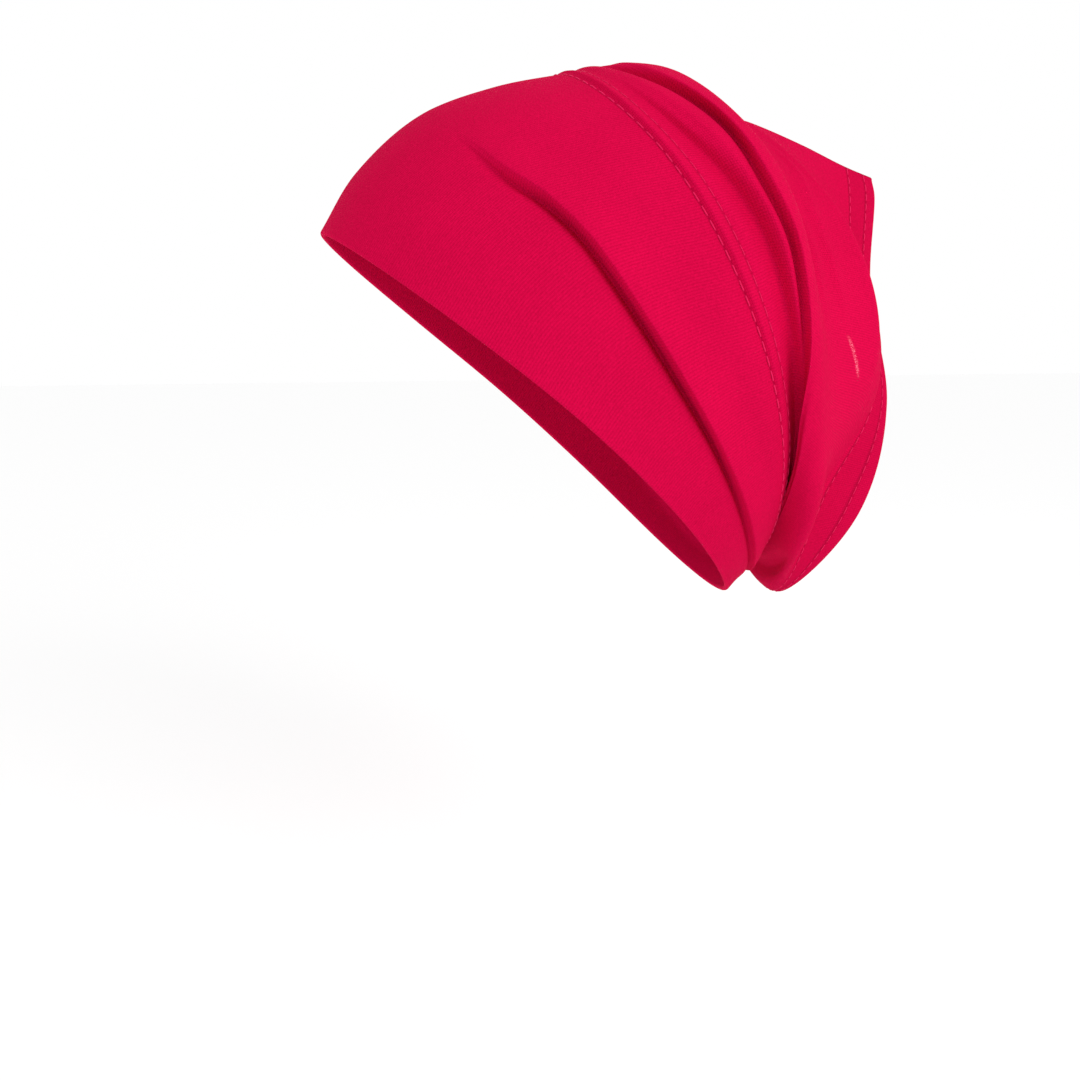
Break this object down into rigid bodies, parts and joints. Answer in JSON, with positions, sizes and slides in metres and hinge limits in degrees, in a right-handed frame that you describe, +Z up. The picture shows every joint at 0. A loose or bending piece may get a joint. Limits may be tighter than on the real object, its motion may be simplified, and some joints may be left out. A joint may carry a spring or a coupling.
{
  "type": "underscarf cap",
  "caption": "Soft tube-shaped underscarf cap of crimson knitted jersey, as worn: double front band, seam with folds behind it, and a slack rear bag with an open hemmed end.",
  "frame": {"origin": "point inside the crown where the wearer's head bears, on the middle plane, level with the outside of the crown", "axes": "+X to the wearer's left, -Y to the face, +Y to the open rear end, +Z up"},
  "size_m": [0.1603, 0.2072, 0.1939],
  "materials": {
    "jersey": "matt fine-knit jersey"
  },
  "bodies": {
    "root": {"front_band": "jersey", "slouch_body": "jersey", "back_hem": "jersey"}
  },
  "joints": []
}
